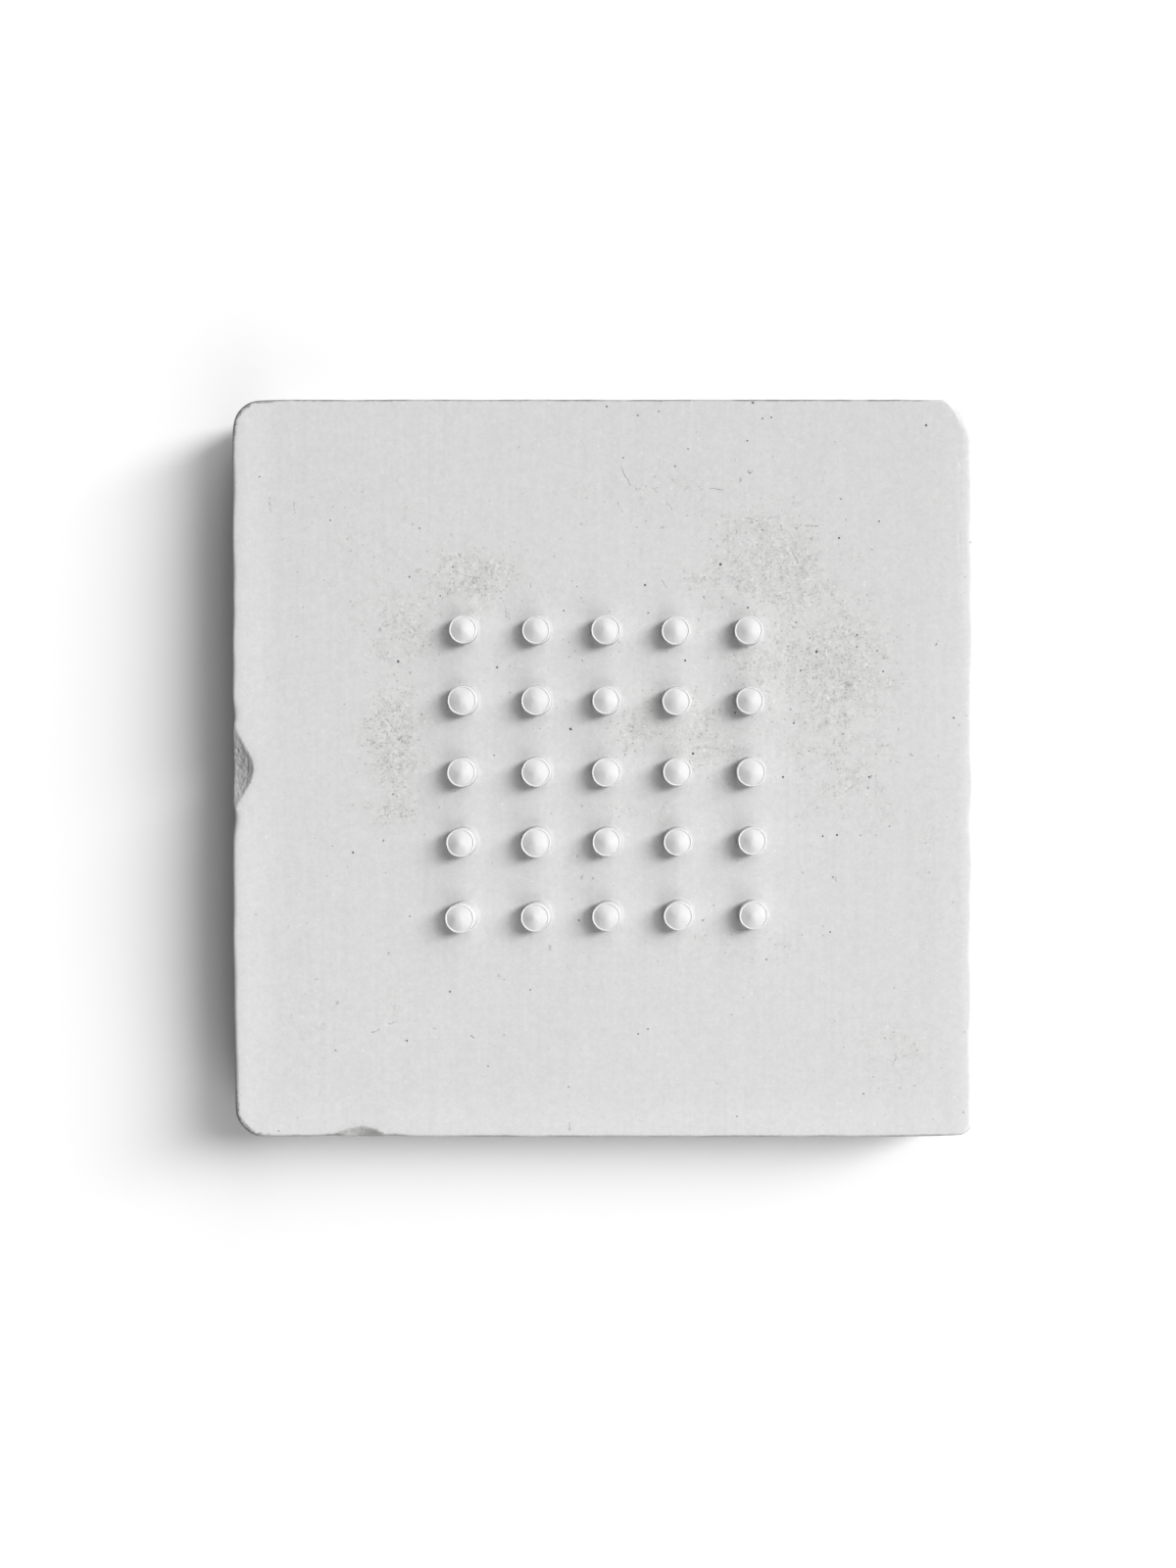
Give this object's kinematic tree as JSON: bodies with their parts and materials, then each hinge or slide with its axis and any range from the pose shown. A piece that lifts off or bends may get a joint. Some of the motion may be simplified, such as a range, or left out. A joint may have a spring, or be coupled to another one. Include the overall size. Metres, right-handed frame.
{
  "type": "plaster wall tile",
  "caption": "Square cast plaster wall tile: a plain slab with softened, chipped edges and a central field of short round studs with conical points standing out of its face",
  "frame": {"origin": "middle of the flat back, which lies on the floor", "axes": "+Z out of the studded face, +X to the right and +Y to the top of the tile as it hangs on a wall"},
  "size_m": [0.2, 0.2, 0.0309],
  "materials": {
    "plaster": "dry, matt off-white cast plaster with pinholes, faint grey stains and rubbed edges"
  },
  "bodies": {
    "root": {"plaster_tile": "plaster"}
  },
  "joints": []
}
